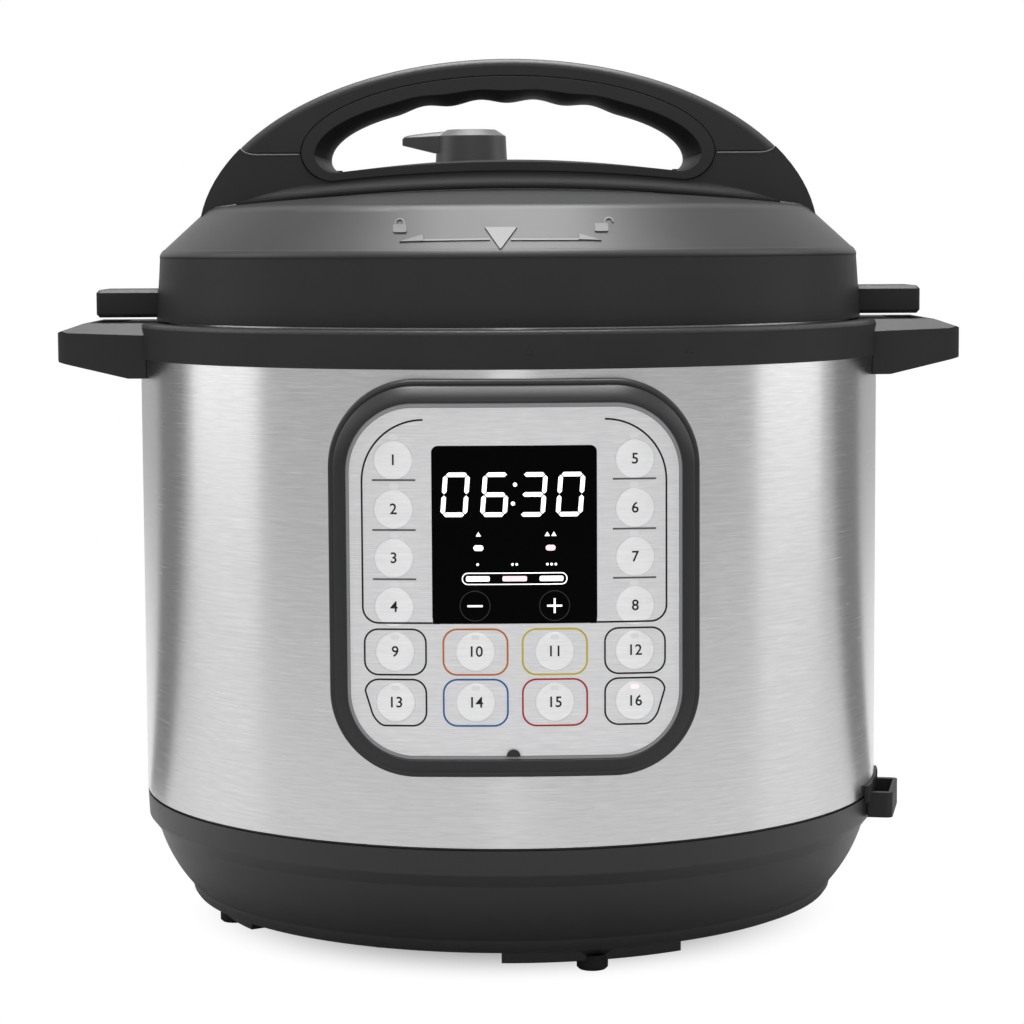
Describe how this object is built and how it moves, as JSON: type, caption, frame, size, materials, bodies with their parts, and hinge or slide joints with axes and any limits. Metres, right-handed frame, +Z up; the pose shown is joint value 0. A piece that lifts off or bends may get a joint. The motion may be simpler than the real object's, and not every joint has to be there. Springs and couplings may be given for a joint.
{
  "type": "electric pressure cooker",
  "caption": "Round electric pressure cooker with a brushed steel body, a black twist-lock lid with an arched handle, and a curved control panel with a display and keys.",
  "frame": {"origin": "on the body's vertical axis, at the plane of the feet's undersides", "axes": "+Z up, -Y out of the control panel, +X to the right as seen from the front"},
  "size_m": [0.337, 0.3086, 0.3205],
  "materials": {
    "black_plastic": "fine-textured black moulding",
    "bezel_plastic": "satin black frame",
    "brushed_steel": "brushed round the body",
    "pot_steel": "polished, faint turning marks",
    "plain_steel": "plain pressed steel",
    "screw_steel": "bright plated",
    "cast_aluminium": "machined casting",
    "foot_rubber": "matte black rubber",
    "silicone": "milky translucent silicone",
    "silver_film": "silver-grey printed film",
    "display_plastic": "dark smooth window",
    "circuit_board": "green lacquered board",
    "clear_plastic": "smoky clear plastic"
  },
  "bodies": {
    "base": {"base_bowl": "black_plastic", "feet": "foot_rubber", "base_plate": "plain_steel", "base_screws": "screw_steel", "spoon_holder_socket": "black_plastic", "steel_housing": "brushed_steel", "upper_rim": "black_plastic", "outer_pot": "plain_steel", "inner_pot": "pot_steel", "heating_plate": "cast_aluminium", "sensor_spring": "screw_steel", "sensor_bracket": "plain_steel", "pressure_switch": "black_plastic", "power_board": "circuit_board", "power_inlet": "black_plastic", "collector_bracket": "black_plastic", "panel_bezel": "bezel_plastic", "panel_overlay": "silver_film", "display_window": "display_plastic", "display_module": "display_plastic", "control_board": "circuit_board"},
    "gasket": {"sealing_ring": "silicone"},
    "lid": {"lid_cover": "black_plastic", "lid_handle_cap": "black_plastic", "handle_grip_liner": "black_plastic", "handle_screws": "screw_steel", "lid_steel_plate": "pot_steel", "lid_screws": "screw_steel", "sealing_ring_rack": "plain_steel", "vent_pipe": "plain_steel", "anti_block_shield": "pot_steel"},
    "steam_release": {"steam_release_handle": "black_plastic"},
    "float": {"float_valve": "plain_steel", "float_seal": "silicone"},
    "sensor": {"sensor_button": "cast_aluminium"},
    "collector": {"condensation_collector": "clear_plastic"},
    "left_key_1": {"left_key_1": "silver_film"},
    "left_key_2": {"left_key_2": "silver_film"},
    "left_key_3": {"left_key_3": "silver_film"},
    "left_key_4": {"left_key_4": "silver_film"},
    "right_key_1": {"right_key_1": "silver_film"},
    "right_key_2": {"right_key_2": "silver_film"},
    "right_key_3": {"right_key_3": "silver_film"},
    "right_key_4": {"right_key_4": "silver_film"},
    "lower_key_1": {"lower_key_1": "silver_film"},
    "lower_key_2": {"lower_key_2": "silver_film"},
    "lower_key_3": {"lower_key_3": "silver_film"},
    "lower_key_4": {"lower_key_4": "silver_film"},
    "lower_key_5": {"lower_key_5": "silver_film"},
    "lower_key_6": {"lower_key_6": "silver_film"},
    "lower_key_7": {"lower_key_7": "silver_film"},
    "lower_key_8": {"lower_key_8": "silver_film"},
    "minus_key": {"minus_key": "display_plastic"},
    "plus_key": {"plus_key": "display_plastic"}
  },
  "joints": [
    {"name": "lid_lift", "type": "slide", "parent": "base", "child": "gasket", "axis": [0, 0, 1], "range_m": [0, 0.1]},
    {"name": "lid_turn", "type": "hinge", "parent": "gasket", "child": "lid", "pos_m": [0, 0, 0.22], "axis": [0, 0, 1], "range_deg": [-22.5, 0]},
    {"name": "steam_release_turn", "type": "hinge", "parent": "lid", "child": "steam_release", "pos_m": [-0.0136, 0.055, 0.28], "axis": [0, 0, 1], "range_deg": [-60, 0]},
    {"name": "float_rise", "type": "slide", "parent": "lid", "child": "float", "axis": [0, 0, 1], "range_m": [0, 0.006]},
    {"name": "sensor_press", "type": "slide", "parent": "base", "child": "sensor", "axis": [0, 0, -1], "range_m": [0, 0.002], "stiffness_N_per_m": 900, "deforming": ["sensor_spring"]},
    {"name": "collector_pull", "type": "slide", "parent": "base", "child": "collector", "axis": [0, 1, 0], "range_m": [0, 0.05]},
    {"name": "left_key_1_press", "type": "slide", "parent": "base", "child": "left_key_1", "axis": [0, 1, 0], "range_m": [0, 0.0005], "stiffness_N_per_m": 1500},
    {"name": "left_key_2_press", "type": "slide", "parent": "base", "child": "left_key_2", "axis": [0, 1, 0], "range_m": [0, 0.0005], "stiffness_N_per_m": 1500},
    {"name": "left_key_3_press", "type": "slide", "parent": "base", "child": "left_key_3", "axis": [0, 1, 0], "range_m": [0, 0.0005], "stiffness_N_per_m": 1500},
    {"name": "left_key_4_press", "type": "slide", "parent": "base", "child": "left_key_4", "axis": [0, 1, 0], "range_m": [0, 0.0005], "stiffness_N_per_m": 1500},
    {"name": "right_key_1_press", "type": "slide", "parent": "base", "child": "right_key_1", "axis": [0, 1, 0], "range_m": [0, 0.0005], "stiffness_N_per_m": 1500},
    {"name": "right_key_2_press", "type": "slide", "parent": "base", "child": "right_key_2", "axis": [0, 1, 0], "range_m": [0, 0.0005], "stiffness_N_per_m": 1500},
    {"name": "right_key_3_press", "type": "slide", "parent": "base", "child": "right_key_3", "axis": [0, 1, 0], "range_m": [0, 0.0005], "stiffness_N_per_m": 1500},
    {"name": "right_key_4_press", "type": "slide", "parent": "base", "child": "right_key_4", "axis": [0, 1, 0], "range_m": [0, 0.0005], "stiffness_N_per_m": 1500},
    {"name": "lower_key_1_press", "type": "slide", "parent": "base", "child": "lower_key_1", "axis": [0, 1, 0], "range_m": [0, 0.0005], "stiffness_N_per_m": 1500},
    {"name": "lower_key_2_press", "type": "slide", "parent": "base", "child": "lower_key_2", "axis": [0, 1, 0], "range_m": [0, 0.0005], "stiffness_N_per_m": 1500},
    {"name": "lower_key_3_press", "type": "slide", "parent": "base", "child": "lower_key_3", "axis": [0, 1, 0], "range_m": [0, 0.0005], "stiffness_N_per_m": 1500},
    {"name": "lower_key_4_press", "type": "slide", "parent": "base", "child": "lower_key_4", "axis": [0, 1, 0], "range_m": [0, 0.0005], "stiffness_N_per_m": 1500},
    {"name": "lower_key_5_press", "type": "slide", "parent": "base", "child": "lower_key_5", "axis": [0, 1, 0], "range_m": [0, 0.0005], "stiffness_N_per_m": 1500},
    {"name": "lower_key_6_press", "type": "slide", "parent": "base", "child": "lower_key_6", "axis": [0, 1, 0], "range_m": [0, 0.0005], "stiffness_N_per_m": 1500},
    {"name": "lower_key_7_press", "type": "slide", "parent": "base", "child": "lower_key_7", "axis": [0, 1, 0], "range_m": [0, 0.0005], "stiffness_N_per_m": 1500},
    {"name": "lower_key_8_press", "type": "slide", "parent": "base", "child": "lower_key_8", "axis": [0, 1, 0], "range_m": [0, 0.0005], "stiffness_N_per_m": 1500},
    {"name": "minus_key_press", "type": "slide", "parent": "base", "child": "minus_key", "axis": [0, 1, 0], "range_m": [0, 0.0005], "stiffness_N_per_m": 1500},
    {"name": "plus_key_press", "type": "slide", "parent": "base", "child": "plus_key", "axis": [0, 1, 0], "range_m": [0, 0.0005], "stiffness_N_per_m": 1500}
  ]
}
